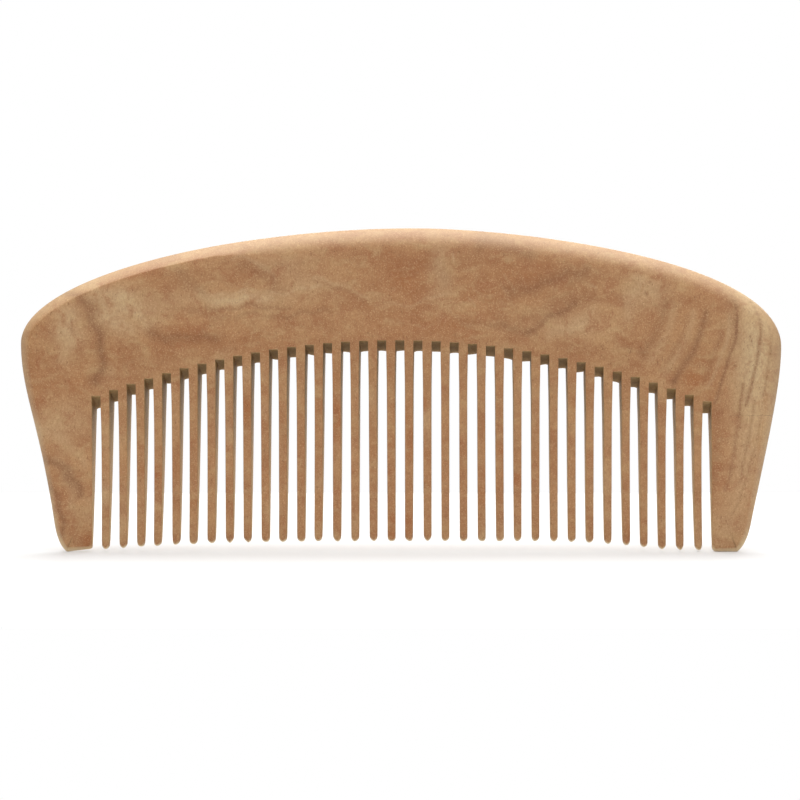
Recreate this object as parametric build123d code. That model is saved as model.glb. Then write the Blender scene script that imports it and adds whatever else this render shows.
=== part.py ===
"""A wooden hair comb, sawn and sanded from one board.

The comb stands on the feet of its two guards with its back up. X runs along the comb, Y through
its thickness with the front face towards -Y, and Z up. The origin is at the middle of the box
that the comb fills, at the level of the feet. All sizes are in millimetres.

The board is parallel-faced along its back and tapers down to thin feet and tooth tips. A circular
saw, set below the comb and in front of it, leaves the slots, so that each slot ends in a short
curved roof that drops towards the back face. The board is written as its spine, its two guards
and its teeth, which meet face to face just under the slot roofs.
"""

from build123d import *
import math
import os

# Overall sizes
comb_length = 175.0
comb_height = 74.6
spine_thickness = 10.0
foot_thickness = 1.5

# Sanded outline. It passes through the top of the crown, the widest point of each side and the
# foot of each side, and a reach is how far the curve keeps its direction at such a point. The
# last two values say how steeply the tooth tips fall, and at what share of half the row they end.
crown_x = 3.0
left_side = {
    "sign": -1,
    "shoulder_drop": 26.6,
    "crown_reach": 41.8,
    "shoulder_reach": 15.4,
    "waist_reach": 12.1,
    "foot_inset": 8.35,
    "foot_lean": 3.4,
    "foot_reach": 28.5,
    "tip_fall_power": 3,
    "tip_fall_end": 1.0,
}
right_side = {
    "sign": 1,
    "shoulder_drop": 27.3,
    "crown_reach": 23.1,
    "shoulder_reach": 20.4,
    "waist_reach": 11.7,
    "foot_inset": 8.1,
    "foot_lean": 2.55,
    "foot_reach": 15.1,
    "tip_fall_power": 5,
    "tip_fall_end": 0.87,
}

# Tooth row: a slot every pitch, as many as fit between the guards. The slots creep to the left
# by up to the saw creep, most of all a third of the way along the row.
tooth_pitch = 4.12
slot_width = 2.07
guard_foot_width = 7.5
saw_creep = 0.45

# Roots: the front edges of the slot roofs lie on a shallow arch
spine_depth = 25.9
root_arch_x = -1.4
root_arch_radius = 182.5
saw_radius = 55.0
roof_drop = 2.2
root_web = 0.4

# Tips: level over most of the row, falling towards the guards, in a shorter curve on the right
tip_rise = 2.35
tip_fall = 2.05

# Roundings, each held to a share of the wood that it is cut from
crown_rounding = 2.9
foot_rounding = 0.5
foot_corner_width = 1.9
foot_corner_height = 6.5
foot_corner_bend = 1.6
tip_rounding = 0.7
taper_blend_radius = 40.0
largest_rounding_share = 0.42

guard_section_count = 7
margin = 5.0

half_length = comb_length / 2
root_apex = comb_height - spine_depth
taper_top = root_apex
far = comb_length


def side_points(side):
    """The crown, widest point and foot of one side, with the curve's handles between them."""
    edge_x = side["sign"] * half_length
    foot_x = side["sign"] * (half_length - side["foot_inset"])
    shoulder = comb_height - side["shoulder_drop"]
    upper = (
        (crown_x, comb_height),
        (crown_x + side["sign"] * side["crown_reach"], comb_height),
        (edge_x, shoulder + side["shoulder_reach"]),
        (edge_x, shoulder),
    )
    lower = (
        (edge_x, shoulder),
        (edge_x, shoulder - side["waist_reach"]),
        (foot_x + side["sign"] * side["foot_lean"], side["foot_reach"]),
        (foot_x, 0.0),
    )
    return upper, lower


def edge_x_at(side, z):
    """Where the sanded edge stands at height z below the widest point, found by halving."""
    p0, p1, p2, p3 = side_points(side)[1]
    low, high = 0.0, 1.0
    while high - low > 1e-9:
        t = (low + high) / 2
        weights = ((1 - t) ** 3, 3 * t * (1 - t) ** 2, 3 * t**2 * (1 - t), t**3)
        x, height = (sum(w * p[k] for w, p in zip(weights, (p0, p1, p2, p3))) for k in (0, 1))
        low, high = (t, high) if height > z else (low, t)
    return x


def thickness_at(z):
    """Thickness of the board at height z: a straight taper up to the parallel back."""
    return min(spine_thickness, foot_thickness + (spine_thickness - foot_thickness) * z / taper_top)


def slot_centres():
    """The slots' places along X, evenly spaced between the guards apart from the saw's creep."""
    low = -half_length + left_side["foot_inset"] + guard_foot_width
    high = half_length - right_side["foot_inset"] - guard_foot_width
    gaps = int((high - low - slot_width) / tooth_pitch)
    first = (low + high - gaps * tooth_pitch) / 2
    creep = saw_creep * 27 / 4
    return [
        first + i * tooth_pitch - creep * (i / gaps) * (1 - i / gaps) ** 2 for i in range(gaps + 1)
    ]


def root_at(x):
    """Height of a slot roof's front edge, on the root arch."""
    sag = root_arch_radius - math.sqrt(root_arch_radius**2 - (x - root_arch_x) ** 2)
    return root_apex - sag


def split_level(*slots):
    """Height where the wood beside these slots is divided, just under the lowest roof."""
    return min(root_at(x) for x in slots) - roof_drop - root_web


def held(rounding, wood):
    """A rounding, held to its share of the wood that it is cut from."""
    return min(rounding, largest_rounding_share * wood)


def block(x_low, x_high, z_low, z_high):
    """A block through the whole thickness of the board."""
    width, height = abs(x_high - x_low), z_high - z_low
    middle = Pos((x_low + x_high) / 2, 0, (z_low + z_high) / 2)
    return middle * Box(width, 2 * spine_thickness, height)


def board_section():
    """The board seen from its end, extruded along X: parallel back, blended into the taper."""
    lean = math.atan2((spine_thickness - foot_thickness) / 2, taper_top)
    reach = taper_blend_radius * math.tan(lean / 2)
    foot = Vector(foot_thickness / 2, 0)
    low = Vector(spine_thickness / 2 - reach * math.sin(lean), taper_top - reach * math.cos(lean))
    high = Vector(spine_thickness / 2, taper_top + reach)
    top = Vector(spine_thickness / 2, comb_height + margin)
    with BuildSketch(Plane.YZ) as section:
        with BuildLine():
            taper = Line(foot, low)
            TangentArc(low, high, tangent=taper % 1)
            Line(high, top)
            Line(top, (0, top.Y))
            Line((0, top.Y), (0, 0))
            Line((0, 0), foot)
        make_face()
        mirror(about=Plane.YZ)
    return extrude(section.sketch, amount=far, both=True)


def saw_blade(x):
    """The saw blade at the end of its cut: its rim meets the front face at the root arch, and
    the back face lower by the roof's drop."""
    half = thickness_at(root_at(x)) / 2
    front = Vector(0, -half, root_at(x))
    back = Vector(0, half, root_at(x) - roof_drop)
    chord = back - front
    inward = Vector(0, chord.Z, -chord.Y).normalized()
    centre = (front + back) * 0.5 + inward * math.sqrt(saw_radius**2 - (chord.length / 2) ** 2)
    return Pos(x, centre.Y, centre.Z) * Rotation(0, 90, 0) * Cylinder(saw_radius, slot_width)


def make_spine(section, slots):
    """The back of the comb: rounded crown and shoulders, with the slot roofs cut into it."""
    curves = []
    for side in (left_side, right_side):
        for points in side_points(side):
            curves.append(Bezier(*[Vector(x, 0, z) for x, z in points]))
    feet = [Vector(side_points(s)[1][3][0], 0, 0) for s in (left_side, right_side)]
    outline = Pos(0, -spine_thickness, 0) * make_face([*curves, Line(*feet)])
    board = extrude(outline, amount=2 * spine_thickness, dir=(0, 1, 0)) & section

    ends = [-far, *slots, far]
    levels = [
        split_level(slots[0]),
        *[split_level(a, b) for a, b in zip(slots, slots[1:])],
        split_level(slots[-1]),
    ]
    guards_only = min(levels)
    board -= block(-far, far, -margin, guards_only)
    rim_faces = board.faces().filter_by(GeomType.EXTRUSION)
    rim = [e for e in rim_faces.edges() if abs((e @ 1 - e @ 0).Y) < e.length / 2]
    board = fillet(rim, held(crown_rounding, thickness_at(guards_only)))

    for low, high, level in zip(ends, ends[1:], levels):
        if level > guards_only:
            board -= block(low, high, -margin, level)
    return board - [saw_blade(x) for x in slots]


def foot_corner(side):
    """What is sanded off a foot's outer corner: the wood outside a curve from the edge, which
    bends most at the bend's height, down to the sole."""
    foot_x = side["sign"] * (half_length - side["foot_inset"])
    outside = side["sign"] * far
    start = Vector(edge_x_at(side, foot_corner_height), 0, foot_corner_height)
    bend = Vector(edge_x_at(side, foot_corner_bend), 0, foot_corner_bend)
    end = Vector(foot_x - side["sign"] * foot_corner_width, 0, 0)
    rounded = Bezier(start, bend, end)
    corners = [end, (end.X, 0, -margin), (outside, 0, -margin), (outside, 0, start.Z), start]
    waste = Pos(0, -spine_thickness, 0) * make_face([rounded, Polyline(*corners)])
    return extrude(waste, amount=2 * spine_thickness, dir=(0, 1, 0))


def make_guard(side, slot):
    """One end of the tooth row: from the slot's wall out to the sanded edge, down to the foot."""
    top = split_level(slot)
    inner = slot + side["sign"] * slot_width / 2
    sections = []
    for i in range(guard_section_count):
        z = top * i / (guard_section_count - 1)
        outer = edge_x_at(side, z)
        thickness = thickness_at(z)
        foot_round = held(foot_rounding, foot_thickness)
        top_round = held(crown_rounding, thickness_at(top))
        rounding = foot_round + (top_round - foot_round) * z / top
        blank = Pos((inner + outer) / 2, 0) * Rectangle(abs(outer - inner), thickness)
        corners = blank.vertices().sort_by(Axis.X)
        outer_corners = corners[:2] if side["sign"] < 0 else corners[2:]
        sections.append(Pos(0, 0, z) * fillet(outer_corners, rounding))
    return loft(sections) - foot_corner(side)


def make_tooth(section, slot, next_slot, row_middle, half_row):
    """One tooth: the wood left between two slots, with a rounded tip."""
    low, high = slot + slot_width / 2, next_slot - slot_width / 2
    offset = ((low + high) / 2 - row_middle) / half_row
    side = left_side if offset < 0 else right_side
    share = min(1.0, abs(offset) / side["tip_fall_end"])
    tip = tip_rise - tip_fall * share ** side["tip_fall_power"]
    tooth = section & block(low, high, tip, split_level(slot, next_slot))
    rounding = held(tip_rounding, min(high - low, thickness_at(tip)))
    return fillet(tooth.faces().sort_by(Axis.Z)[0].edges(), rounding)


def make_comb():
    """Every node of the comb, by name."""
    section = board_section()
    slots = slot_centres()
    row_middle = (slots[0] + slots[-1]) / 2
    half_row = (slots[-1] - slots[0]) / 2
    nodes = {
        "spine": make_spine(section, slots),
        "left_guard": make_guard(left_side, slots[0]),
        "right_guard": make_guard(right_side, slots[-1]),
    }
    for i, (slot, next_slot) in enumerate(zip(slots, slots[1:]), start=1):
        nodes[f"tooth_{i:02d}"] = make_tooth(section, slot, next_slot, row_middle, half_row)
    return nodes


os.makedirs("parts", exist_ok=True)
for name, solid in make_comb().items():
    export_step(solid, f"parts/{name}.step")
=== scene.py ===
"""A one-piece wooden hair comb, sawn and sanded from one board, standing on its two guards."""

import bmesh
import bpy
import numpy as np
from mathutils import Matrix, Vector


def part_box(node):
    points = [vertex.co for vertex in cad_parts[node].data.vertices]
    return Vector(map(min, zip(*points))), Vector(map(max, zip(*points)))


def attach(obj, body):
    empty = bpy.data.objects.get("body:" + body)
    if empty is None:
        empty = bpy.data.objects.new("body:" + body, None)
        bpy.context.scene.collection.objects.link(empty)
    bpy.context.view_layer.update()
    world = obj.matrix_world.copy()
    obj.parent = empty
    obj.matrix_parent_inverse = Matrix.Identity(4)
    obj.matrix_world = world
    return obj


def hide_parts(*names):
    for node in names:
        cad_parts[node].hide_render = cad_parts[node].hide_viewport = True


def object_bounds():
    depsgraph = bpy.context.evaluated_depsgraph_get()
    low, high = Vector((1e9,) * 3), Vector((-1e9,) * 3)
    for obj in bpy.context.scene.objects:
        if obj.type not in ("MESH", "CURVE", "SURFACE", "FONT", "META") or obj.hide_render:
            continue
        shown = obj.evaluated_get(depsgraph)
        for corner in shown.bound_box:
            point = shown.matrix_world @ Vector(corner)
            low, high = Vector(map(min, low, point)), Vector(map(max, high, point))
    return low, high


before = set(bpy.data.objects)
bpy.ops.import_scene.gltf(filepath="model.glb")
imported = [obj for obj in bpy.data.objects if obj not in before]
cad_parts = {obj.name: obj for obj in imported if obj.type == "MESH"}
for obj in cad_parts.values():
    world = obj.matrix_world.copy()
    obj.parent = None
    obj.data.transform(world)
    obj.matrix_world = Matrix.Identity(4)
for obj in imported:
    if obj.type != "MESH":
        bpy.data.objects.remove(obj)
cad_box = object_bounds()
cad_low, cad_high = (np.array(corner) for corner in cad_box)


# ------------------------------------------------------------------------------------------
# The wood: one board of a pale fruitwood, reddish brown at heart and olive towards the bark.
# It is planed, sawn into a comb, sanded on every outer face and waxed. The slots stay rough.
# ------------------------------------------------------------------------------------------

MM = 0.001

# Streaks of the figure: where each starts, bends and ends along the face (x and z, mm), how
# wide it is, and how strongly it darkens (positive) or pales (negative) the wood.
STREAKS = [
    ((-73.5, 60), (-66, 51), (-69, 40), 1.3, 1.0),
    ((-70.5, 58.5), (-66, 52), (-62, 50), 1.5, -0.7),
    ((-69, 61), (-62, 57), (-58, 53), 2.2, -0.8),
    ((-80, 57), (-75, 52), (-76.5, 44), 2.2, -0.6),
    ((-76, 53), (-75.5, 51.5), (-75, 50), 0.3, 0.6),
    ((-51, 64), (-50, 61.5), (-46, 59.5), 1.2, 0.6),
    ((-56, 50.5), (-50, 47.5), (-42, 49.5), 1.4, 0.9),
    ((-46, 58.5), (-38, 57.2), (-29, 58.6), 1.0, -0.7),
    ((-46, 59.6), (-32, 59.3), (-18, 60.5), 0.4, -0.6),
    ((-45, 56.4), (-36, 55.6), (-25, 56.6), 0.4, 0.7),
    ((-39, 67.4), (-31, 67), (-29, 63), 0.5, -0.6),
    ((-36, 65), (-31, 65), (-28, 61), 1.6, 0.6),
    ((-50, 55.5), (-36, 53), (-22, 55), 0.6, 0.35),
    ((-28, 55), (-22, 53.6), (-16, 55.5), 0.5, 0.5),
    ((-19, 62.4), (-13, 62.6), (-7, 57.5), 0.35, -0.7),
    ((-19, 61.6), (-13, 61.8), (-8, 57), 0.35, 0.5),
    ((-6, 58.5), (2, 55), (12, 59.5), 0.35, -0.45),
    ((1, 66), (8, 67), (10, 62), 2.2, 0.3),
    ((18, 70), (24, 70), (30, 68.5), 1.3, 0.7),
    ((42, 65), (33, 61), (24, 60), 1.8, 0.8),
    ((40, 57), (36, 54), (29, 50.5), 0.9, 0.85),
    ((42, 59), (35, 56), (24, 52), 2.0, 0.4),
    ((30, 51), (20, 51), (13, 54), 0.8, 0.45),
    ((44, 56), (41, 52), (34, 49), 1.4, -0.5),
    ((54, 63), (52, 58), (52, 54), 1.6, -0.6),
    ((60.5, 57), (59.5, 51), (55.5, 45.5), 1.3, 0.6),
    ((62.5, 56), (61.5, 50), (57.5, 44), 1.0, -0.5),
    ((69.8, 55), (68.5, 47), (63, 39), 0.8, 1.0),
    ((67, 55), (66, 48), (61, 41), 0.8, -0.55),
    ((65.5, 54), (64.5, 48), (60, 42), 0.5, 0.35),
    ((73.6, 52), (72.8, 46), (70, 39), 0.6, 0.45),
    ((77.2, 58), (77.4, 48), (72.6, 34), 0.45, 1.0),
    ((76, 57), (76.5, 54), (76.5, 50), 1.6, 0.45),
    ((75.2, 54), (75, 46), (71, 38), 0.5, -0.6),
    ((83, 56), (82.6, 46), (80, 33), 0.45, 1.0),
    ((80.5, 50), (80, 40), (78, 30), 0.5, 0.3),
    ((85.6, 52), (85.2, 44), (83.6, 35), 0.4, 0.6),
    ((79, 38), (78, 28), (76.5, 12), 0.4, 0.7),
    ((82, 34), (80, 24), (79.5, 14), 0.35, 0.6),
    ((83.5, 30), (81.5, 20), (79.5, 6), 0.3, 0.5),
    ((73.5, 32), (72.8, 18), (73.5, 4), 1.5, 0.5),
    ((-83, 23), (-76, 20), (-71.5, 12), 0.9, 1.1),
    ((-81, 18), (-76, 12), (-74, 3), 0.9, 0.9),
    ((-79.5, 14), (-77.5, 8), (-76, 1), 0.6, -0.7),
    ((-84, 29), (-77, 26), (-72, 20), 1.6, -0.5),
    ((-78, 21), (-74, 16), (-72, 8), 0.9, -0.5),
    ((12, 69), (12.6, 68.2), (13, 67.3), 0.25, -0.8),
    ((24.4, 63.5), (25.2, 61.8), (26.3, 59.7), 0.22, -0.7),
    ((22.6, 60.6), (23.6, 59.8), (24.2, 58.8), 0.22, -0.6),
    ((15.6, 58.5), (16.5, 57.4), (17.1, 56.2), 0.25, -0.7),
    ((43, 61.7), (43.6, 61.2), (44.1, 60.6), 0.25, -0.9),
    ((56, 59.5), (56.1, 59.4), (56.2, 59.3), 0.28, 1.2),
    ((57.1, 62.1), (57.2, 62), (57.3, 61.9), 0.25, 1.0),
]

# Patches of colour: centre (x and z, mm), half length and half height, and how red
# (positive) or olive (negative) the wood turns there.
PATCHES = [
    ((-49, 49), 8, 3.0, 1.0),
    ((-58, 64), 7, 3.5, 0.45),
    ((-84, 38), 7, 10, 0.5),
    ((-64, 55.5), 6, 4.5, -0.7),
    ((-75.5, 52), 3, 5, -0.7),
    ((-73, 40), 3, 5, 0.5),
    ((-55, 57), 7, 3, -0.3),
    ((-38, 57.8), 10, 1.8, -0.65),
    ((-31, 63.5), 6, 3, 0.6),
    ((-27, 66), 5, 3, -0.5),
    ((-22, 61), 6, 2.5, -0.5),
    ((-30, 48), 14, 4, 0.35),
    ((-8, 66), 7, 4, 0.35),
    ((2.5, 65), 5.5, 5, 1.0),
    ((9, 64), 2.5, 7, -0.7),
    ((12, 52), 7, 3, 0.5),
    ((-3, 50), 6, 3, 0.3),
    ((26, 61), 11, 6, 0.6),
    ((34, 65), 8, 3.5, 0.45),
    ((40, 52), 8, 3, -0.4),
    ((57, 60), 4.5, 4, -0.7),
    ((60, 53), 6, 5, 0.4),
    ((69, 57), 4, 5, 0.3),
    ((69, 42), 4, 6, 0.35),
    ((82, 46), 5.0, 17, -1.6),
    ((80.5, 18), 4.0, 17, -0.6),
    ((73.5, 20), 2.5, 17, 0.7),
    ((76, 2), 5, 5, -0.4),
    ((-78, 30), 7, 4, -0.6),
    ((-75, 9), 3, 8, 0.3),
    ((0, 18), 66, 18, 0.38),
    ((2, 57), 17, 8, 0.38),
]

# Small patches down the teeth: how many, how far from the middle and how high up they lie,
# their half lengths and half heights (mm), how red they are on average, how much that
# varies, and the most olive and the reddest of them
MOTTLE_COUNT = 110
MOTTLE_REACH = 68
MOTTLE_HEIGHTS = (1, 44)
MOTTLE_HALF_LENGTHS = (1.2, 2.8)
MOTTLE_HALF_HEIGHTS = (1.5, 5.0)
MOTTLE_TONE = 0.1
MOTTLE_SPREAD = 0.7
MOTTLE_LIMITS = (-0.5, 1.2)
mottle = np.random.default_rng(5)
for _ in range(MOTTLE_COUNT):
    centre = (mottle.uniform(-MOTTLE_REACH, MOTTLE_REACH), mottle.uniform(*MOTTLE_HEIGHTS))
    halves = (mottle.uniform(*MOTTLE_HALF_LENGTHS), mottle.uniform(*MOTTLE_HALF_HEIGHTS))
    tone = np.clip(mottle.normal(MOTTLE_TONE, MOTTLE_SPREAD), *MOTTLE_LIMITS)
    PATCHES.append((centre, *halves, tone))


def srgb(red, green, blue):
    """A screen colour, 0 to 255, as the linear light that shaders use."""
    c = np.array([red, green, blue]) / 255
    linear = np.where(c <= 0.04045, c / 12.92, ((c + 0.055) / 1.055) ** 2.4)
    return (*linear, 1.0)


# How far the grain leans for each millimetre of depth, and how far it sways (mm)
LEAN_X, LEAN_Z = 0.9, 0.35
SWAY_X, SWAY_Z = 1.5, 1.1


def lean_through(x, y, z):
    """Where a grain surface that passes through (x, y, z) meets the front face, in mm.

    The grain leans and sways as it goes through the board, so the position slides along
    the face in proportion to the depth, and a sine of the depth sways it each way. On the
    front face, where the depth is 0, nothing moves.
    """
    depth = (y - cad_low[1]) / MM
    x, z = x / MM, z / MM
    front_x = x + LEAN_X * depth + SWAY_X * np.sin(0.11 * z + 0.35 * depth)
    front_z = z - LEAN_Z * depth + SWAY_Z * np.sin(0.09 * x + 0.5 * depth + 1.0)
    return front_x - SWAY_X * np.sin(0.11 * z), front_z - SWAY_Z * np.sin(0.09 * x + 1.0)


# The figure wavers by crossed sines, but hardly in the straight grain right of this x (mm)
STRAIGHT_FROM = 48
STRAIGHT_BLEND = 3
STREAK_STEPS = 24


def figure(points):
    """The board's drawn figure at each point: redness, olive tone and streak strength.

    Each streak is a quadratic curve a(1-t)^2 + 2bt(1-t) + ct^2, and its strength is exp of
    minus the squared distance from its nearest point over its squared width. Each patch fades
    in the same way from its centre, over its half length and half height. They are added up
    after the place has been wavered by the sines, which the straight grain has a fifth of.
    Pale streaks count as olive tone.
    """
    x, z = lean_through(*points.T)
    waver = 1 - 0.8 / (1 + np.exp((STRAIGHT_FROM - x) / STRAIGHT_BLEND))
    ripple = 0.5 * np.sin(0.55 * x + 0.4 * z) + 0.4 * np.sin(0.9 * z - 0.3 * x + 2.0)
    rise = 0.6 * np.sin(0.45 * x + 1.3) + 0.3 * np.sin(1.1 * x + 0.2 * z)
    x, z = x + waver * ripple, z + waver * rise
    t = np.linspace(0, 1, STREAK_STEPS)[:, None]
    dark, pale = np.zeros(len(points)), np.zeros(len(points))
    for start, bend, end, width, strength in STREAKS:
        start, bend, end = (np.array(p, float) for p in (start, bend, end))
        curve = start * (1 - t) ** 2 + 2 * bend * t * (1 - t) + end * t**2
        steps = np.diff(curve, axis=0)
        nearest = np.full(len(points), np.inf)
        for (cx, cz), (dx, dz) in zip(curve[:-1], steps):
            part = np.clip(((x - cx) * dx + (z - cz) * dz) / (dx * dx + dz * dz), 0, 1)
            nearest = np.minimum(nearest, (x - cx - part * dx) ** 2 + (z - cz - part * dz) ** 2)
        share = abs(strength) * np.exp(-nearest / width**2)
        if strength > 0:
            dark += share
        else:
            pale += share
    red, olive = np.zeros(len(points)), np.zeros(len(points))
    for (cx, cz), half_length, half_height, tone in PATCHES:
        share = abs(tone) * np.exp(-(((x - cx) / half_length) ** 2) - ((z - cz) / half_height) ** 2)
        if tone > 0:
            red += share
        else:
            olive += share
    return np.stack([red, np.clip(olive + 0.8 * pale, 0, None), dark], axis=1)


class Nodes:
    """A material's node tree, with one short call for each kind of node."""

    def __init__(self, name):
        """A new material with this name, its shader and the place on the object."""
        self.material = bpy.data.materials.new(name)
        self.material.use_nodes = True
        self.tree = self.material.node_tree
        self.shader = self.tree.nodes["Principled BSDF"]
        self.place = self.add("ShaderNodeTexCoord").outputs["Object"]

    def add(self, kind, **settings):
        """A new node of a kind, with the given settings."""
        node = self.tree.nodes.new(kind)
        for key, value in settings.items():
            setattr(node, key, value)
        return node

    def put(self, socket, value):
        """Links a socket to a node's output, or sets it to a plain value."""
        if isinstance(value, bpy.types.NodeSocket):
            self.tree.links.new(value, socket)
        else:
            socket.default_value = value

    def stretch(self, scale, turn=(0, 0, 0), shift=(0, 0, 0)):
        """Object coordinates turned, shifted and stretched, for a pattern with a direction."""
        node = self.add("ShaderNodeMapping")
        self.put(node.inputs["Vector"], self.place)
        node.inputs["Scale"].default_value = scale
        node.inputs["Rotation"].default_value = turn
        node.inputs["Location"].default_value = shift
        return node.outputs["Vector"]

    def noise(self, vector, scale, detail=4.0, roughness=0.5, distortion=0.0):
        """Cloudy noise between 0 and 1: scale is how many clouds there are to the metre."""
        node = self.add("ShaderNodeTexNoise")
        for key, value in (
            ("Vector", vector),
            ("Scale", scale),
            ("Detail", detail),
            ("Roughness", roughness),
            ("Distortion", distortion),
        ):
            self.put(node.inputs[key], value)
        return node.outputs["Fac"]

    def math(self, operation, a, b=0.0, clamp=False):
        """Two values put through one operation, held between 0 and 1 where clamp is set."""
        node = self.add("ShaderNodeMath", operation=operation, use_clamp=clamp)
        self.put(node.inputs[0], a)
        self.put(node.inputs[1], b)
        return node.outputs[0]

    def remap(self, value, low, high, to_low=0.0, to_high=1.0):
        """A value between low and high, spread over to_low to to_high and held there."""
        node = self.add("ShaderNodeMapRange")
        for number, setting in enumerate((value, low, high, to_low, to_high)):
            self.put(node.inputs[number], setting)
        return node.outputs[0]

    def mix(self, share, a, b):
        """Colour a turned towards colour b by a share: a(1-share) + b share."""
        node = self.add("ShaderNodeMix", data_type="RGBA", blend_type="MIX")
        self.put(node.inputs["Factor"], share)
        self.put(node.inputs[6], a)
        self.put(node.inputs[7], b)
        return node.outputs[2]

    def attribute(self, name):
        """A value or colour that the mesh carries at its points."""
        return self.add("ShaderNodeAttribute", attribute_name=name)


# Colours of the sanded wood, its figure, its finest grain and what sanding and sawing bare
DARK_HEARTWOOD = srgb(160, 111, 71)
PALE_HEARTWOOD = srgb(182, 139, 94)
RED_FIGURE = srgb(160, 100, 55)
OLIVE_FIGURE = srgb(202, 174, 132)
RED_BLOTCH = srgb(152, 94, 57)
GREEN_BLOTCH = srgb(188, 154, 108)
DARK_STREAK = srgb(122, 78, 48)
DARK_GRAIN = srgb(138, 92, 56)
PALE_SPECK = srgb(214, 176, 130)
OPEN_PORE = srgb(112, 70, 40)
WORN_ARRIS = srgb(176, 142, 96)
# Pale end grain, also painted on the sanded rims, where it is partly a painted highlight
PALE_END_GRAIN_AND_HIGHLIGHT = srgb(228, 208, 170)
SAWN_DARK = srgb(182, 150, 100)
SAWN_PALE = srgb(212, 180, 130)
# The sawn walls' colours with painted shade, used towards the slot roofs
SHADED_SAWN_DARK = srgb(156, 128, 82)
SHADED_SAWN_PALE = srgb(188, 160, 112)

# Painted shade darkens the sawn walls between these heights, towards the slot roofs. The
# fine relief is this deep, and the wax shines this much.
WALL_SHADE_START, WALL_SHADE_END = 20 * MM, 34 * MM
GRAIN_DEPTH = 0.06 * MM
WAX_SHEEN = 0.38


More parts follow.
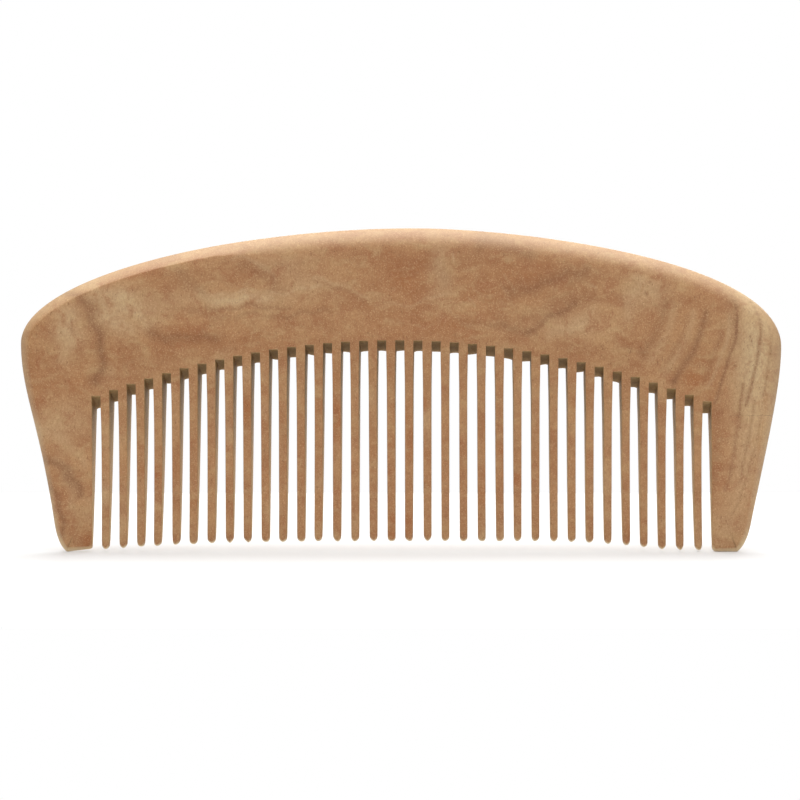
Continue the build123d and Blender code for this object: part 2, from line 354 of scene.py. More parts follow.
def board_wood():
    """Sanded, waxed wood with the board's own figure, and sawn wood where it was only cut."""
    n = Nodes("board_wood")
    drawn = n.add("ShaderNodeSeparateColor")
    n.put(drawn.inputs[0], n.attribute("figure").outputs["Color"])
    red, olive, dark = drawn.outputs
    sawn = n.attribute("sawn").outputs["Fac"]
    edge = n.attribute("edge").outputs["Fac"]
    end_grain_and_highlight = n.attribute("end_grain_and_highlight").outputs["Fac"]

    # Colour: cloudy heartwood, then the drawn figure, then fine grain and specks
    clouds = n.noise(n.stretch((1.0, 1.4, 1.5)), 120, 4.0, 0.6, 0.6)
    colour = n.mix(n.remap(clouds, 0.34, 0.66), DARK_HEARTWOOD, PALE_HEARTWOOD)
    colour = n.mix(n.math("MULTIPLY", red, 0.75, True), colour, RED_FIGURE)
    colour = n.mix(n.math("MULTIPLY", olive, 0.66, True), colour, OLIVE_FIGURE)
    blotches = n.noise(n.stretch((1.0, 1.0, 0.9), shift=(0.3, 0.1, 0.2)), 330, 3.0, 0.6, 0.5)
    colour = n.mix(n.remap(blotches, 0.50, 0.70, 0.0, 0.60), colour, RED_BLOTCH)
    greens = n.noise(n.stretch((0.7, 1.0, 1.3), shift=(0.7, 0.3, 0.5)), 280, 3.0, 0.6, 0.5)
    colour = n.mix(n.remap(greens, 0.50, 0.72, 0.0, 0.62), colour, GREEN_BLOTCH)
    broken = n.noise(n.stretch((1.0, 1.0, 1.0)), 900, 3.0, 0.7)
    streak = n.math("MULTIPLY", dark, n.remap(broken, 0.25, 0.7, 0.45, 1.0))
    colour = n.mix(n.math("MULTIPLY", streak, 0.78, True), colour, DARK_STREAK)
    grain = n.noise(n.stretch((1.0, 0.6, 0.5), turn=(0, 0.25, 0)), 2300, 4.0, 0.7)
    colour = n.mix(n.remap(grain, 0.35, 0.68, 0.0, 0.42), colour, DARK_GRAIN)
    specks = n.noise(n.stretch((1.0, 1.0, 1.0)), 3300, 3.0, 0.7)
    colour = n.mix(n.remap(specks, 0.52, 0.72, 0.0, 0.55), colour, PALE_SPECK)
    pores = n.noise(n.stretch((1.0, 1.0, 0.5), shift=(0.9, 0.2, 0.4)), 2600, 2.0, 0.6)
    colour = n.mix(n.remap(pores, 0.62, 0.74, 0.0, 0.6), colour, OPEN_PORE)

    # Worn arrises and end grain are paler. The sawn walls are olive, with painted shade that
    # darkens them towards the roofs, deep in the slots
    colour = n.mix(n.math("MULTIPLY", edge, 0.45, True), colour, WORN_ARRIS)
    # The pale end-grain colour also paints the sanded rims paler: partly end grain, partly a
    # painted highlight
    colour = n.mix(n.math("MULTIPLY", end_grain_and_highlight, 0.75, True), colour, PALE_END_GRAIN_AND_HIGHLIGHT)
    saw_marks = n.noise(n.stretch((1.0, 0.25, 2.2), turn=(0.2, 0, 0)), 2400, 3.0, 0.6)
    # Painted shade: the higher up a wall, nearer its roof, the darker it is painted
    height = n.add("ShaderNodeSeparateXYZ")
    n.put(height.inputs[0], n.place)
    roof_shade = n.remap(height.outputs["Z"], WALL_SHADE_START, WALL_SHADE_END)
    dark_wall = n.mix(roof_shade, SAWN_DARK, SHADED_SAWN_DARK)
    pale_wall = n.mix(roof_shade, SAWN_PALE, SHADED_SAWN_PALE)
    sawn_colour = n.mix(n.remap(saw_marks, 0.3, 0.7), dark_wall, pale_wall)
    colour = n.mix(n.math("MULTIPLY", sawn, 0.8, True), colour, sawn_colour)
    n.put(n.shader.inputs["Base Color"], colour)

    # Gloss: a low wax sheen, duller where the grain is open and on the sawn walls
    rough = n.remap(grain, 0.3, 0.7, 0.46, 0.56)
    rough = n.math("ADD", rough, n.math("MULTIPLY", sawn, 0.3), True)
    n.put(n.shader.inputs["Roughness"], rough)
    n.shader.inputs["Specular IOR Level"].default_value = WAX_SHEEN

    # Relief: fine sanded grain, open pores and the saw's marks
    relief = n.math("ADD", n.math("MULTIPLY", grain, 0.5), n.math("MULTIPLY", specks, 0.4))
    relief = n.math("SUBTRACT", relief, n.remap(pores, 0.66, 0.78, 0.0, 0.6))
    relief = n.math("ADD", relief, n.math("MULTIPLY", n.math("MULTIPLY", saw_marks, sawn), 3.0))
    bump = n.add("ShaderNodeBump")
    n.put(bump.inputs["Height"], relief)
    bump.inputs["Strength"].default_value = 0.35
    bump.inputs["Distance"].default_value = GRAIN_DEPTH
    n.put(n.shader.inputs["Normal"], bump.outputs["Normal"])
    return n.material


wood = board_wood()


# ------------------------------------------------------------------------------------------
# The back: crown and shoulders, and the wood down to the slot roofs. It is planed parallel,
# bandsawn to its outline and rounded over by hand, softly at the crown and more crisply on
# the left. A circular saw, set low and in front, left the slanting roofs of the slots.
# ------------------------------------------------------------------------------------------

COMB_LENGTH = cad_high[0] - cad_low[0]
COMB_HEIGHT = cad_high[2] - cad_low[2]
SPINE_THICKNESS = cad_high[1] - cad_low[1]
FOOT_THICKNESS = 1.5 * MM
SPINE_DEPTH = 25.9 * MM
TAPER_TOP = COMB_HEIGHT - SPINE_DEPTH
TAPER_BLEND = 1.8 * MM
ROOF_DROP = 2.2 * MM
ROOT_WEB = 0.4 * MM
SAW_RADIUS = 55 * MM

# The saw went in this much higher in front at both ends of the row
END_LIFT = 0.65 * MM

# The crown is highest this far right of the middle
CROWN_X = 3.0 * MM
TEETH = sorted(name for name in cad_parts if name.startswith("tooth"))

# The outline's handles on each side, in mm: how far below the crown it is widest, how far
# it keeps its direction at the crown and at the widest point, and where its foot stands.
OUTLINE = {
    -1: {
        "drop": 26.6,
        "crown": 41.8,
        "above": 15.4,
        "below": 12.1,
        "inset": 8.35,
        "foot": (3.4, 28.5),
    },
    1: {
        "drop": 27.3,
        "crown": 23.1,
        "above": 20.4,
        "below": 11.7,
        "inset": 8.1,
        "foot": (2.55, 15.1),
    },
}

# Rounding of the edge by girth, the distance along the edge from the crown (mm, negative to
# the left): how wide it is on the face, how deep it goes, how round it is, where 2 is a
# quarter circle and 1 a flat chamfer, and how far the face has fallen where it starts.
RIM_GIRTH = [-147, -116, -100, -88, -46, -34, 34, 50, 88, 100, 116, 147]
RIM_WIDTH = [0.7, 1.9, 2.3, 2.5, 2.6, 4.4, 4.6, 4.2, 3.8, 3.0, 1.9, 0.7]
RIM_DEPTH = [0.5, 1.9, 2.7, 3.0, 3.1, 3.8, 3.9, 3.8, 3.5, 2.8, 1.9, 0.5]
RIM_ROUND = [2.0, 1.8, 1.5, 1.15, 1.15, 1.6, 1.65, 1.65, 1.65, 1.7, 1.8, 2.0]
RIM_FALL = [0.0, 0.05, 0.15, 0.26, 0.26, 0.15, 0.15, 0.2, 0.25, 0.15, 0.05, 0.0]

# The face falls away to the rim over this width, and the rim is painted this share of the
# pale end-grain colour, partly end grain and partly a painted highlight.
# Over the seam's reach, beside the split from a guard, the rim turns to run straight across.
FALL_WIDTH = 2.4 * MM
RIM_PALENESS_AND_HIGHLIGHT = 0.35
SEAM_REACH = 2.5 * MM

# Hand sanding took off up to six times this, in slow waves
SANDING_WAVE = 0.010 * MM

# How finely the surfaces are divided. The rows of a face crowd towards its rim by a power.
UPPER_STEPS = 400
LOWER_STEPS = 300
FACE_ROWS = 54
FACE_CROWDING = 1.25
RIM_ROWS = 8
SIDE_ROWS = 4
UNDER_ROWS = 6
SLOT_COLUMNS = 6
TOOTH_COLUMNS = 4
FAN_COLUMNS = 120

# The columns over the row spread into the shoulders by a share, and meet the edge within
# this depth from the crown
SHOULDER_SPREAD = 0.115
CROWN_DEPTH = 24 * MM

# Points this close are one point, and an edge is sharp where it turns by more than the angle
WELD = 0.002 * MM
SHARP_ANGLE = np.radians(38)


def bezier(points, count):
    """A cubic curve: four points weighted by (1-t)^3, 3t(1-t)^2, 3t^2(1-t) and t^3."""
    t = np.linspace(0, 1, count)[:, None]
    p0, p1, p2, p3 = np.array(points)
    return p0 * (1 - t) ** 3 + 3 * p1 * t * (1 - t) ** 2 + 3 * p2 * t**2 * (1 - t) + p3 * t**3


def half_outline(sign):
    """The sanded edge of one side, as (x, z) points from the crown down to the foot."""
    s = OUTLINE[sign]
    edge_x = sign * COMB_LENGTH / 2
    shoulder = COMB_HEIGHT - s["drop"] * MM
    foot_x = edge_x - sign * s["inset"] * MM
    lean_x, reach = (v * MM for v in s["foot"])
    upper = [
        (CROWN_X, COMB_HEIGHT),
        (CROWN_X + sign * s["crown"] * MM, COMB_HEIGHT),
        (edge_x, shoulder + s["above"] * MM),
        (edge_x, shoulder),
    ]
    lower = [
        (edge_x, shoulder),
        (edge_x, shoulder - s["below"] * MM),
        (foot_x + sign * lean_x, reach),
        (foot_x, 0.0),
    ]
    return np.concatenate([bezier(upper, UPPER_STEPS), bezier(lower, LOWER_STEPS)[1:]])


def girth(path):
    """Distance along a path of points, from its first one."""
    return np.concatenate([[0], np.cumsum(np.linalg.norm(np.diff(path, axis=0), axis=1))])


def along(path, places):
    """Points of a path at the given distances along it."""
    g = girth(path)
    return np.stack([np.interp(places, g, path[:, k]) for k in (0, 1)], axis=1)


def half_thickness(z):
    """Half the board's thickness: a straight taper that eases into the parallel back.

    The ease is the smooth minimum of the two: their mean less half the root of their
    difference squared plus a small length squared.
    """
    foot, full = FOOT_THICKNESS / 2, SPINE_THICKNESS / 2
    taper = foot + (full - foot) * z / TAPER_TOP
    ease = TAPER_BLEND * (full - foot) / TAPER_TOP
    return (taper + full - np.sqrt((taper - full) ** 2 + ease**2)) / 2


def sanding(x, z, back):
    """How far hand sanding took a broad face in: slow crossed sines, a few hundredths of
    a millimetre, different on the front and the back."""
    x, z = x / MM + 37 * back, z / MM + 11 * back
    wave = np.sin(0.21 * x + 0.13 * z) + np.sin(0.34 * z - 0.12 * x + 1.0) + np.sin(0.09 * x + 2.0)
    return (wave + 3) * SANDING_WAVE


def rounded_shell(face, outer, rounding, level, face_rows, rim_rows):
    """Front face, rounded rim and back face of a flat piece, as one grid of points.

    face holds the start points on the front and on the back, outer the points on the edge,
    and rounding the rim's width, depth, roundness and fall at each of them. A column runs
    straight from its start on the front face to the rim, over the rim as a superellipse
    a^p + (1-b)^p = 1, with a the share of the rim's width, b the share of its depth and p the
    roundness, straight through the thickness, and back in the same way on the back face. The
    face falls away to the rim by fall (1-d/w)^2, with d the distance to the rim and w the
    width of the fall. Close to the split level the rim is taken straight across, so that the
    pieces on both sides of it meet. Returns the points and each row's share of edge.
    """
    front_start, back_start = face
    width, depth, roundness, fall = rounding
    tangent = np.gradient(outer, axis=0)
    tangent /= np.linalg.norm(tangent, axis=1)[:, None]
    inward = np.stack([-tangent[:, 1], tangent[:, 0]], axis=1)
    if np.mean(np.sum(inward * (front_start - outer), axis=1)) < 0:
        inward = -inward
    level_share = np.exp(-(((outer[:, 1] - level) / SEAM_REACH) ** 2))[:, None]
    straight = np.column_stack([np.sign(inward[:, 0]), 0 * inward[:, 0]])
    inward = inward * (1 - level_share) + straight * level_share
    rim_start = outer + inward * width[:, None]
    turn = np.linspace(0, np.pi / 2, rim_rows + 1)[1:]
    rows, edge = [], []
    for start, side in ((front_start, -1), (back_start, 1)):
        half = []
        for v in 1 - (1 - np.linspace(0, 1, face_rows)) ** FACE_CROWDING:
            p = start + (rim_start - start) * v
            y = half_thickness(p[:, 1]) - sanding(p[:, 0], p[:, 1], side > 0)
            to_rim = np.linalg.norm(rim_start - p, axis=1)
            y = y - fall * np.clip(1 - to_rim / FALL_WIDTH, 0, 1) ** 2
            half.append(np.column_stack([p[:, 0], side * y, p[:, 1]]))
        for angle in turn:
            out = np.sin(angle) ** (2 / roundness) if angle < np.pi / 2 else np.ones(len(outer))
            down = 1 - np.clip(np.cos(angle), 0, 1) ** (2 / roundness)
            p = rim_start + (outer - rim_start) * out[:, None]
            y = half_thickness(p[:, 1]) - sanding(p[:, 0], p[:, 1], side > 0)
            y = y - fall - depth * down
            half.append(np.column_stack([p[:, 0], side * y, p[:, 1]]))
        rows.append(half)
        edge.append([0.0] * face_rows + list(np.sin(turn)))
    front, back = rows
    across = np.linspace(0, 1, SIDE_ROWS + 1)[1:-1]
    middle = [front[-1] + (back[-1] - front[-1]) * v for v in across]
    points = np.stack([*front, *middle, *reversed(back)], axis=1)
    return points, np.array([*edge[0], *[1.0] * len(middle), *reversed(edge[1])])


def grid_faces(columns, rows, first):
    """Quads between neighbouring points of a grid, as corner numbers from first on."""
    i, j = np.meshgrid(np.arange(columns - 1), np.arange(rows - 1), indexing="ij")
    corner = (first + i * rows + j).ravel()
    return np.stack([corner, corner + rows, corner + rows + 1, corner + 1], axis=1)


def make_piece(name, grids, caps, node):
    """One wooden piece from grids of points, each with its shares of sawn wood, edge and pale
    end-grain colour, which on the rims is partly a painted highlight.

    The grids share their borders, so the doubled points are joined and all faces are turned
    outwards. A cap is a flat face whose corners are given as (grid, column, row) numbers.
    Each point takes the board's figure at its own place.
    """
    points, faces, tags, firsts = [], [], [], []
    first = 0
    for grid, *grid_tags in grids:
        columns, rows = grid.shape[:2]
        points.append(grid.reshape(-1, 3))
        quads = grid_faces(columns, rows, first)
        faces.append(quads)
        shares = [np.broadcast_to(tag, (columns, rows)).ravel() for tag in grid_tags]
        tags.append(np.stack(shares, axis=1)[quads - first])
        firsts.append((first, rows))
        first += columns * rows
    loops = [[firsts[g][0] + c * firsts[g][1] + r for g, c, r in cap] for cap in caps]
    mesh = bpy.data.meshes.new(name)
    mesh.from_pydata(np.concatenate(points), [], np.concatenate(faces).tolist() + loops)
    cap_tags = np.zeros((sum(len(loop) for loop in loops), 3))
    corner_tags = np.concatenate([np.concatenate(tags).reshape(-1, 3), cap_tags])
    for k, tag in enumerate(("sawn", "edge", "end_grain_and_highlight")):
        attribute = mesh.attributes.new(tag, "FLOAT", "CORNER")
        attribute.data.foreach_set("value", np.ascontiguousarray(corner_tags[:, k], np.float32))

    whole = bmesh.new()
    whole.from_mesh(mesh)
    bmesh.ops.remove_doubles(whole, verts=whole.verts, dist=WELD)
    bmesh.ops.recalc_face_normals(whole, faces=whole.faces)
    whole.to_mesh(mesh)
    whole.free()

    count = len(mesh.vertices)
    flat = np.zeros(count * 3, np.float32)
    mesh.vertices.foreach_get("co", flat)
    tones = np.ones((count, 4), np.float32)
    tones[:, :3] = figure(flat.reshape(-1, 3).astype(float))
    colour = mesh.attributes.new("figure", "FLOAT_COLOR", "POINT")
    colour.data.foreach_set("color", tones.ravel())
    mesh.shade_smooth()
    mesh.set_sharp_from_angle(angle=SHARP_ANGLE)
    mesh.materials.append(wood)
    piece = bpy.data.objects.new(name, mesh)
    bpy.context.scene.collection.objects.link(piece)
    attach(piece, "root")
    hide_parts(node)
    return piece


def roof_height(front, drop, across):
    """Height of a slot roof, across from 0 at the front face to 1 at the back.

    The straight drop from front to back, plus the saw's sagitta 4s a(1-a), where s is the
    chord squared over eight radii.
    """
    chord = 2 * half_thickness(front)
    return front - drop * across + across * (1 - across) * chord**2 / (2 * SAW_RADIUS)


# The rough back edges of the roofs: how much they tilt and bow by chance, how far all of
# them bow, and the most that they leave the saw's line
ROOF_CHANCE = 0.12 * MM
ROOF_BOW = 0.12 * MM
ROOF_LIMIT = 0.35 * MM

# Saw walls, split levels and roof heights, read from the boxes of the teeth and guards
boxes = [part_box(name) for name in TEETH]
wall_left = np.array([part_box("left_guard")[1].x, *[high.x for low, high in boxes]])
wall_right = np.array([*[low.x for low, high in boxes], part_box("right_guard")[0].x])
levels = np.array([high.z for low, high in boxes])
guard_levels = {-1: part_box("left_guard")[1].z, 1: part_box("right_guard")[1].z}
beside = np.concatenate([[levels[0]], levels, [levels[-1]]])
lift = END_LIFT * (np.abs(wall_left + wall_right) / (wall_right[-1] - wall_left[0])) ** 6
roofs = np.maximum(beside[:-1], beside[1:]) + ROOF_DROP + ROOT_WEB + lift
ragged = np.random.default_rng(11)


def make_back():
    """The back: one shell fanned from the slot roofs out to the sanded edge, closed below by
    the roofs, the saw walls beside them and the flat tops of the teeth."""
    left, right = half_outline(-1), half_outline(1)
    left = left[left[:, 1] >= guard_levels[-1]]
    right = right[right[:, 1] >= guard_levels[1]]
    edge_path = np.concatenate([left[::-1], right[1:]])
    edge_girth = girth(edge_path)
    crown = girth(left)[-1]

    # Start points of the columns along the row: a roof's edges, then the wood to the next one
    start_x, start_front, start_back = [], [], []
    over_slot = np.linspace(-1, 1, SLOT_COLUMNS + 1)
    over_tooth = np.linspace(0, 1, TOOTH_COLUMNS + 1)[1:-1]
    last_back = None
    for k, (x0, x1, roof, extra) in enumerate(zip(wall_left, wall_right, roofs, lift)):
        tilt, bow = ragged.normal(0, ROOF_CHANCE, 2)
        tear = np.clip(tilt * over_slot - (ROOF_BOW + bow) * over_slot**4, -ROOF_LIMIT, ROOF_LIMIT)
        roof_back = roof_height(roof, ROOF_DROP + extra, 1.0) + tear
        if k > 0:
            start_back.append(last_back + (roof_back[0] - last_back) * over_tooth)
        start_x.append(np.linspace(x0, x1, SLOT_COLUMNS + 1))
        start_front.append(np.full(SLOT_COLUMNS + 1, roof))
        start_back.append(roof_back)
        last_back = roof_back[-1]
        if k < len(levels):
            start_x.append(x1 + (wall_left[k + 1] - x1) * over_tooth)
            start_front.append(roof + (roofs[k + 1] - roof) * over_tooth)
    start_x = np.concatenate(start_x)
    start_front = np.concatenate(start_front)
    start_back = np.concatenate(start_back)

    # Start points up the end walls of the row, whose columns fan out above the guards
    fan = np.linspace(0, 1, FAN_COLUMNS + 1)
    fans = {}
    for sign, at in ((-1, 0), (1, -1)):
        level = guard_levels[sign]
        fans[sign] = [
            np.full(FAN_COLUMNS, start_x[at]),
            (level + (start_front[at] - level) * fan)[:-1],
            (level + (start_back[at] - level) * fan)[:-1],
        ]
    x = np.concatenate([fans[-1][0], start_x, fans[1][0]])
    front = np.concatenate([fans[-1][1], start_front, fans[1][1][::-1]])
    back = np.concatenate([fans[-1][2], start_back, fans[1][2][::-1]])

    # Where each column meets the edge: above it in the row, spreading into the shoulders
    spread = start_x * (1 + SHOULDER_SPREAD * (start_x / start_x[-1]) ** 4)
    upper = edge_path[:, 1] > cad_high[2] - CROWN_DEPTH
    row_girth = np.interp(spread, edge_path[upper, 0], edge_girth[upper])
    left_girth = np.linspace(0, row_girth[0], FAN_COLUMNS + 1)[:-1]
    right_girth = np.linspace(row_girth[-1], edge_girth[-1], FAN_COLUMNS + 1)[1:]
    places = np.concatenate([left_girth, row_girth, right_girth])
    outer = along(edge_path, places)

    from_crown = (places - crown) / MM
    levels_at = np.where(from_crown < 0, guard_levels[-1], guard_levels[1])
    width = np.interp(from_crown, RIM_GIRTH, RIM_WIDTH) * MM
    depth = np.interp(from_crown, RIM_GIRTH, RIM_DEPTH) * MM
    roundness = np.interp(from_crown, RIM_GIRTH, RIM_ROUND)
    fall = np.interp(from_crown, RIM_GIRTH, RIM_FALL) * MM
    starts = (np.column_stack([x, front]), np.column_stack([x, back]))
    rounding = (width, depth, roundness, fall)
    shell, edge = rounded_shell(starts, outer, rounding, levels_at, FACE_ROWS, RIM_ROWS)
    # The rim takes the pale end-grain colour, partly as a painted highlight
    grids = [(shell, 0.0, 0.0, RIM_PALENESS_AND_HIGHLIGHT * edge)]
    caps = []

    # Roofs and walls of the slots, and the wood between them down to the split
    share = np.linspace(0, 1, UNDER_ROWS + 1)
    column = FAN_COLUMNS
    for k, roof in enumerate(roofs):
        here = slice(column, column + SLOT_COLUMNS + 1)
        first, last = shell[here, 0], shell[here, -1]
        arc = first[:, None] + (last - first)[:, None] * share[None, :, None]
        arc[:, :, 2] += roof_height(roof, 0.0, share) - roof
        grids.append((arc, 1.0, 0.0, 0.0))
        for wall, level in ((0, beside[k]), (-1, beside[k + 1])):
            top = arc[wall]
            foot = np.empty((UNDER_ROWS + 1, 3))
            foot[:, 0] = top[0, 0]
            foot[:, 1] = half_thickness(level) * np.linspace(-1, 1, UNDER_ROWS + 1)
            foot[:, 2] = level
            if (k == 0 and wall == 0) or (k == len(roofs) - 1 and wall == -1):
                side = column - FAN_COLUMNS if wall == 0 else column + SLOT_COLUMNS
                fan_front = shell[side : side + FAN_COLUMNS + 1, 0]
                fan_back = shell[side : side + FAN_COLUMNS + 1, -1]
                if wall == 0:
                    fan_front, fan_back = fan_front[::-1], fan_back[::-1]
                patch = top[None] + (foot - top)[None] * fan[:, None, None]
                patch[:, 0], patch[:, -1] = fan_front, fan_back
            else:
                patch = top[None] + (foot - top)[None] * share[:, None, None]
                for border, side_sign, is_back in ((0, -1, False), (-1, 1, True)):
                    z = patch[:, border, 2]
                    y = half_thickness(z) - sanding(patch[:, border, 0], z, is_back)
                    patch[:, border, 1] = side_sign * y
            grids.append((patch, 1.0, 0.0, 0.0))
        column += SLOT_COLUMNS
        if k < len(levels):
            here = slice(column, column + TOOTH_COLUMNS + 1)
            level = levels[k]
            foot_rows = []
            for border, side_sign in ((0, -1), (-1, 1)):
                top = shell[here, border]
                strip_z = top[:, 2][:, None] + (level - top[:, 2])[:, None] * share[None]
                strip_x = np.broadcast_to(top[:, 0][:, None], strip_z.shape)
                thickness = half_thickness(strip_z) - sanding(strip_x, strip_z, border == -1)
                strip = np.stack([strip_x, side_sign * thickness, strip_z], axis=2)
                grids.append((strip, 0.0, 0.0, 0.0))
                foot_rows.append(strip[:, -1])
            front_row, back_row = foot_rows
            bottom = front_row[:, None] + (back_row - front_row)[:, None] * share[None, :, None]
            grids.append((bottom, 0.0, 0.0, 0.0))
            column += TOOTH_COLUMNS
    rows = shell.shape[1]
    for end in (0, shell.shape[0] - 1):
        caps.append([(0, end, r) for r in range(rows)])
    return make_piece("comb_back", grids, caps, "spine")


comb_back = make_back()


# ------------------------------------------------------------------------------------------
# The guards: the wide end teeth that the comb stands on. Each is the end of the same board,
# sanded down to a thin foot with a rounded outer corner and a small bevel round its sole.
# ------------------------------------------------------------------------------------------

FOOT_CORNER_WIDTH = 1.9 * MM
FOOT_CORNER_HEIGHT = 6.5 * MM
FOOT_CORNER_BEND = 1.6 * MM
INNER_CORNER = {-1: 0.6 * MM, 1: 1.0 * MM}
SOLE_RISE = {-1: 0.6 * MM, 1: 0.0}

# Rounding of a guard's edge, as width, depth (mm) and roundness: where the foot's corner
# starts, at the outer end of the sole, at the foot of the saw's wall, along the wall and
# where it meets the back. The sole's bevel runs out over the first length up the wall, and
# the wall's rounding over the second under the back.
CORNER_RIM = (1.3, 0.55, 1.6)
SOLE_RIM = (1.1, 0.5, 1.25)
WALL_FOOT_RIM = (0.7, 0.45, 1.5)
WALL_ROUNDING = 0.22
WALL_RIM = (WALL_ROUNDING, WALL_ROUNDING, 2.0)
JOINED_RIM = (0.01, 0.01, 2.0)
BEVEL_RUNOUT = 2 * MM
ROOT_RUNOUT = 3 * MM

# The slots open a little below their roofs: by the easing on each wall (mm), with the tilt
# added at the right end and taken off at the left, over the reach. The row fans out by a
# share of its width towards the tips.
SLOT_EASING = 0.10
EASING_TILT = 0.05
EASING_REACH = 5 * MM
FANNING = 0.0055

# A guard's face is drawn from a middle line that stays this far above the sole
MIDDLE_START = 4.5 * MM

# How finely a guard is divided: points along each part, columns, and rows of face and rim
CORNER_STEPS = 24
FOOT_CORNER_STEPS = 30
SOLE_STEPS = 20
WALL_STEPS = 61
GUARD_COLUMNS = 260
GUARD_DIVISIONS = (18, 7)


def slot_easing(x):
    """How far a wall at x is eased: the easing plus its tilt times x over half the comb."""
    return (SLOT_EASING + EASING_TILT * x / (COMB_LENGTH / 2)) * MM


def eased_share(depth):
    """How much of the easing there is at a depth under the split: 1 less exp of minus the
    squared depth over the squared reach."""
    return 1 - np.exp(-((depth / EASING_REACH) ** 2))


def make_limb(name, node, path, middle, rounding, level, divisions, walls, end_share):
    """A guard or a tooth: a rounded shell fanned from its middle line out to its edge.

    path runs from the split level down one side, round the end and up the other side, and
    middle holds the point of the middle line that each of its points is joined to. divisions
    are the rows of the face and of the rim, walls says how far each point of the path is on a
    saw's wall, and end_share how far it takes the pale end-grain colour: end grain, and on
    sanded rims partly a painted highlight.
    """
    face_rows, rim_rows = divisions
    shell, edge = rounded_shell((middle, middle), path, rounding, level, face_rows, rim_rows)
    rows = shell.shape[1]
    on_side = np.zeros(rows)
    on_side[face_rows + rim_rows - 1 : rows - face_rows - rim_rows + 1] = 1.0
    rim = edge * (1 - on_side)
    sawn = walls[:, None] * on_side[None]
    edge_share = walls[:, None] * rim[None]
    end_grain_and_highlight = end_share[:, None] * np.maximum(edge, on_side)[None]
    last = shell.shape[0] - 1
    cap = [(0, 0, r) for r in range(rows)] + [(0, last, r) for r in reversed(range(1, rows - 1))]
    return make_piece(name, [(shell, sawn, edge_share, end_grain_and_highlight)], [cap], node)


def make_guard(sign, name, node):
    """One guard: down the outline, round the foot's corner, along the sole, round the small
    inner corner and up the saw's wall. The foot's corner is the curve a(1-t)^2 + 2bt(1-t) +
    ct^2 from the edge to the sole, and the inner corner is a quarter circle."""
    low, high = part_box(node)
    level = high.z
    wall_x = high.x if sign < 0 else low.x
    outline = half_outline(sign)
    kept = (outline[:, 1] <= level) & (outline[:, 1] >= FOOT_CORNER_HEIGHT)
    outer = outline[kept]
    top = np.array([[np.interp(level, outline[::-1, 1], outline[::-1, 0]), level]])
    outer = np.concatenate([top, outer])
    foot_x = outline[-1, 0]
    turn = np.linspace(0, np.pi / 2, CORNER_STEPS)[1:]
    sole_x = foot_x - sign * FOOT_CORNER_WIDTH
    bend = (np.interp(-FOOT_CORNER_BEND, -outline[:, 1], outline[:, 0]), FOOT_CORNER_BEND)
    t = np.linspace(0, 1, FOOT_CORNER_STEPS)[1:, None]
    corner = outer[-1] * (1 - t) ** 2 + np.array((sole_x, 0)) * t**2
    corner += 2 * np.array(bend) * t * (1 - t)
    r, rise = INNER_CORNER[sign], SOLE_RISE[sign]
    wall_z = np.linspace(rise + r, level, WALL_STEPS)[1:]
    eased = slot_easing(wall_x) * eased_share(level - wall_z)
    eased += FANNING * abs(wall_x) * ((level - wall_z) / level) ** 2
    wall = np.column_stack([wall_x + sign * eased, wall_z])
    sole_end = wall_x + sign * (eased[0] + r)
    sole_line = (np.linspace(sole_x, sole_end, SOLE_STEPS), np.linspace(0, rise, SOLE_STEPS))
    sole = np.column_stack(sole_line)[1:]
    inner = np.column_stack([sole_end - sign * r * np.sin(turn), rise + r * (1 - np.cos(turn))])
    path = np.concatenate([outer, corner, sole, inner, wall])
    total = girth(path)[-1]
    marks = np.linspace(0, total, GUARD_COLUMNS)
    outer_end = girth(outer)[-1]
    sole_start = girth(np.concatenate([outer, corner]))[-1]
    wall_start = total - girth(wall)[-1]
    smooth = along(path, marks)
    smooth[-1] = (wall_x, level)

    # Rounding: the back's own at the top of the outer edge, a bevel at the sole, a slight
    # easing of the arris along the wall, and next to none where the wall meets the back
    top_girth = sign * np.interp(-level, -outline[:, 1], girth(outline)) / MM
    top_rim = [np.interp(top_girth, RIM_GIRTH, v) for v in (RIM_WIDTH, RIM_DEPTH, RIM_ROUND)]
    rims = [top_rim, CORNER_RIM, SOLE_RIM, WALL_FOOT_RIM, WALL_RIM, WALL_RIM, JOINED_RIM]
    sole_parts = [outer_end, sole_start, wall_start]
    keys = [0, *sole_parts, wall_start + BEVEL_RUNOUT, total - ROOT_RUNOUT, total]
    width, depth, roundness = (np.interp(marks, keys, values) for values in zip(*rims))
    top_fall = np.interp(top_girth, RIM_GIRTH, RIM_FALL) * MM
    fall = np.interp(marks, [0, outer_end], [top_fall, 0.0])

    # The sawn look comes in over 1 mm at the foot of the wall. The sole is end grain, and the
    # sanded edge above it is painted a little of its pale colour, partly as a painted highlight
    walls = np.interp(marks, [0, wall_start - 0.5 * MM, wall_start + 0.5 * MM], [0, 0, 1])
    end_keys = [outer_end, sole_start, wall_start - 1 * MM, wall_start]
    end_share = np.interp(marks, end_keys, [RIM_PALENESS_AND_HIGHLIGHT, 1, 1, 0])

    # The middle line: level with each point, and held above the sole
    middle_z = np.clip(smooth[:, 1], MIDDLE_START, level)
    outer_x = np.interp(-middle_z, -outline[:, 1], outline[:, 0])
    middle = np.column_stack([wall_x + (outer_x - wall_x) * 0.5, middle_z])
    rounding = (width * MM, depth * MM, roundness, fall)
    return make_limb(
        name, node, smooth, middle, rounding, level, GUARD_DIVISIONS, walls, end_share
    )


left_guard = make_guard(-1, "guard_left", "left_guard")
right_guard = make_guard(1, "guard_right", "right_guard")


# ------------------------------------------------------------------------------------------
# The teeth: what is left between two slots. Sawn flat on both sides, they get thinner with
# the board, and each tip is pointed and rounded by hand, so no two are quite alike.
# ------------------------------------------------------------------------------------------

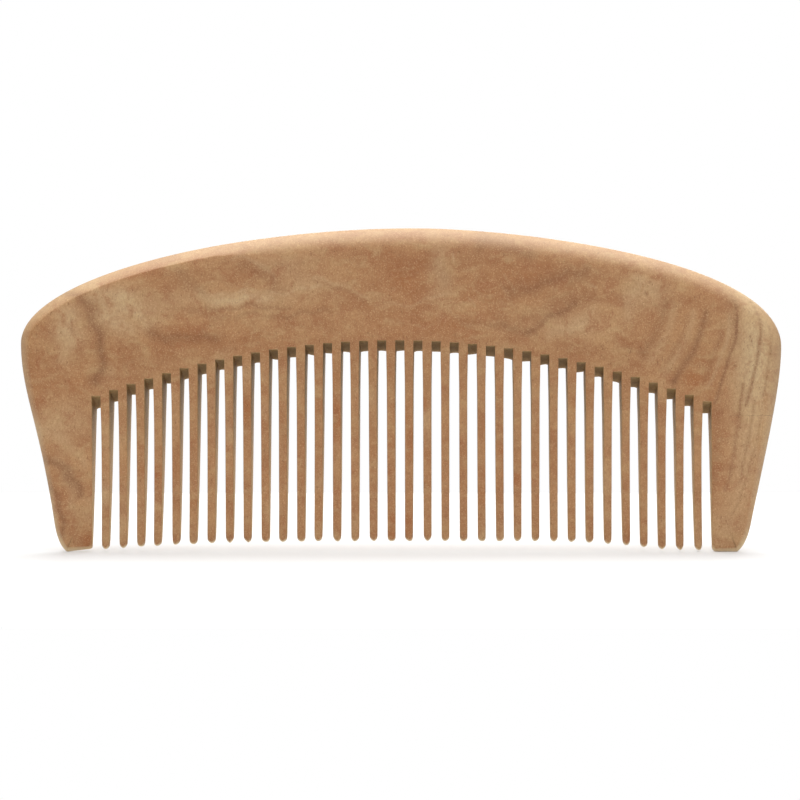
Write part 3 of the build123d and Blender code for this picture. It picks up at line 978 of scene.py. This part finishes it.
# What the hand that shaped the tips varied: how far a tip sways to one side and how far its
# point is off the middle (mm), how much the tooth narrows, the length of its tip (mm), how
# round the tip is, where 2 is an ellipse, and how much shorter than the others it ends (mm)
TIP_SWAY = 0.11
TIP_SKEW = 0.10
NARROWING = 0.05
TIP_LENGTH = (0.9, 1.5)
TIP_ROUND = (1.6, 2.4)
TIP_SHORTFALL = 0.12

# Rounding at the tip (mm): it starts above the tip's shoulder and grows over a length
TIP_RIM_WIDTH = 0.5
TIP_RIM_DEPTH = 0.70
TIP_RIM_START = 1.2 * MM
TIP_RIM_GROWTH = 1.6 * MM

# Pale end grain at the very tip, painted paler still as painted light where the tip faces
# down into shade
TIP_END_GRAIN_AND_LIGHT = 1.6
END_GRAIN_START = 1.1 * MM
END_GRAIN_GROWTH = 0.9 * MM

# How finely a tooth is divided: points up a wall and over the tip, rows of face and rim
TOOTH_WALL_STEPS = 84
TIP_STEPS = 29
TOOTH_DIVISIONS = (4, 4)
hand = np.random.default_rng(7)


def make_tooth(number, node):
    """One tooth: down one wall, round the tip and up the other wall.

    The tip is the superellipse |x|^p + |z|^p = 1, the tooth sways by the square of the
    distance from the root, narrows by its cube, and its point is off by 1 - across^2.
    """
    low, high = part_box(node)
    half, mid, level = (high.x - low.x) / 2, (high.x + low.x) / 2, high.z
    sway = hand.normal(0, TIP_SWAY) * MM + FANNING * mid
    narrowing = hand.uniform(0.0, NARROWING)
    ease = slot_easing(mid) / half
    skew = hand.normal(0, TIP_SKEW) * MM
    tip_length = hand.uniform(*TIP_LENGTH) * MM
    power = hand.uniform(*TIP_ROUND)
    tip_z = low.z + hand.uniform(0.0, TIP_SHORTFALL) * MM
    shoulder = tip_z + tip_length

    wall_z = np.linspace(level, shoulder, TOOTH_WALL_STEPS)
    turn = np.linspace(-np.pi / 2, np.pi / 2, TIP_STEPS)[1:-1]
    over_tip = np.sign(turn) * np.abs(np.sin(turn)) ** (2 / power)
    tip_rise = tip_length * (1 - np.cos(turn) ** (2 / power))
    z = np.concatenate([wall_z, tip_z + tip_rise, wall_z[::-1]])
    across = np.concatenate([-np.ones(TOOTH_WALL_STEPS), over_tip, np.ones(TOOTH_WALL_STEPS)])
    from_root = (level - z) / (level - tip_z)
    waist = 1 - ease * eased_share(level - z) - narrowing * from_root**3
    x = mid + across * half * waist + sway * from_root**2
    x += skew * (1 - across**2)
    path = np.column_stack([x, z])

    middle_z = np.clip(z, shoulder, level)
    middle_sway = sway * ((level - middle_z) / (level - tip_z)) ** 2
    middle = np.column_stack([mid + middle_sway, middle_z])
    at_tip = np.clip((shoulder + TIP_RIM_START - z) / TIP_RIM_GROWTH, 0, 1)
    at_root = np.clip((z - level + ROOT_RUNOUT) / ROOT_RUNOUT, 0, 1)
    arris = WALL_ROUNDING * (1 - at_root) + JOINED_RIM[0]
    width = (arris + (TIP_RIM_WIDTH - arris) * at_tip) * MM
    depth = (arris + (TIP_RIM_DEPTH - arris) * at_tip) * MM
    rounding = (width, depth, np.full(len(z), 2.0), 0.0)
    end_grain_and_highlight = np.clip((tip_z + END_GRAIN_START - z) / END_GRAIN_GROWTH, 0, 1)
    return make_limb(
        f"tooth_{number:02d}_wood", node, path, middle, rounding, level, TOOTH_DIVISIONS,
        1 - at_tip, TIP_END_GRAIN_AND_LIGHT * end_grain_and_highlight,
    )


teeth = [make_tooth(number, node) for number, node in enumerate(TEETH, start=1)]


# ------------------------------------------------------------------------------------------
# The studio: a pale floor under the comb, an even white surround, and three wide soft
# lights: one overhead that catches the rounded crown, one in front and one low behind.
# ------------------------------------------------------------------------------------------

# The camera stands right of the middle and looks straight at the front. The view is this
# wide at the comb, and centred a little left.
CAMERA_X = 14.0 * MM
CAMERA_Z = 35.0 * MM
VIEW_DISTANCE = 480 * MM
VIEW_WIDTH = 184.8 * MM
VIEW_CENTRE_X = -0.35 * MM
VIEW_SENSOR = 36

# The floor from side to side and from front to back (m) and its colours, how much light the
# white surround gives, and how wide each soft light is (m)
FLOOR_X = (-0.35, 0.35)
FLOOR_Y = (-0.16, 0.30)
FLOOR_POINTS = 5
FLOOR_GREY = srgb(206, 206, 206)
FLOOR_WHITE = srgb(212, 212, 211)
FLOOR_ROUGHNESS = 0.9
SURROUND_LIGHT = 0.28
LIGHT_SIZE = 0.8

# Each light's place, the height over the origin that it faces (m), and its power (watts)
LIGHTS = {
    "overhead": ((0.0, -0.02, 0.70), 0.05, 9.3),
    "front": ((0.02, -1.1, 0.40), 0.04, 3.1),
    "behind": ((0.1, 0.75, 0.12), 0.04, 7.0),
}


def make_floor():
    """A flat floor at the level of the feet, from corner to corner in x and y."""
    sides = (np.linspace(*ends, FLOOR_POINTS) for ends in (FLOOR_X, FLOOR_Y))
    x, y = np.meshgrid(*sides, indexing="ij")
    points = np.stack([x, y, 0 * x], axis=2).reshape(-1, 3)
    mesh = bpy.data.meshes.new("studio_floor")
    mesh.from_pydata(points, [], grid_faces(FLOOR_POINTS, FLOOR_POINTS, 0).tolist())
    n = Nodes("studio_floor")
    soft = n.noise(n.stretch((1, 1, 1)), 3.0, 2.0)
    n.put(n.shader.inputs["Base Color"], n.mix(soft, FLOOR_GREY, FLOOR_WHITE))
    n.shader.inputs["Roughness"].default_value = FLOOR_ROUGHNESS
    mesh.materials.append(n.material)
    floor = bpy.data.objects.new("studio_floor", mesh)
    bpy.context.scene.collection.objects.link(floor)


def make_light(name, place, aim_height, power):
    """A square soft light at a place, facing a height over the origin."""
    light = bpy.data.lights.new(name, "AREA")
    light.shape = "SQUARE"
    light.size = LIGHT_SIZE
    light.energy = power
    lamp = bpy.data.objects.new(name, light)
    lamp.visible_camera = False
    aim = Vector((0, 0, aim_height)) - Vector(place)
    lamp.location = place
    lamp.rotation_euler = aim.to_track_quat("-Z", "Y").to_euler()
    bpy.context.scene.collection.objects.link(lamp)


make_floor()
for name, (place, aim_height, power) in LIGHTS.items():
    make_light(name, place, aim_height, power)

world = bpy.data.worlds.new("studio")
world.use_nodes = True
surround = world.node_tree.nodes["Background"]
surround.inputs["Color"].default_value = (1, 1, 1, 1)
seen = world.node_tree.nodes.new("ShaderNodeLightPath").outputs["Is Camera Ray"]
strength = world.node_tree.nodes.new("ShaderNodeMapRange")
strength.inputs["To Min"].default_value = SURROUND_LIGHT
world.node_tree.links.new(seen, strength.inputs["Value"])
world.node_tree.links.new(strength.outputs["Result"], surround.inputs["Strength"])
bpy.context.scene.world = world
bpy.context.scene.view_settings.view_transform = "Standard"

lens = bpy.data.cameras.new("camera")
lens.sensor_width = VIEW_SENSOR
lens.lens = VIEW_SENSOR * VIEW_DISTANCE / VIEW_WIDTH
lens.shift_x = (VIEW_CENTRE_X - CAMERA_X) / VIEW_WIDTH
lens.clip_start = 0.01
camera = bpy.data.objects.new("camera", lens)
camera.location = (CAMERA_X, -VIEW_DISTANCE, CAMERA_Z)
camera.rotation_euler = (np.pi / 2, 0, 0)
bpy.context.scene.collection.objects.link(camera)
bpy.context.scene.camera = camera
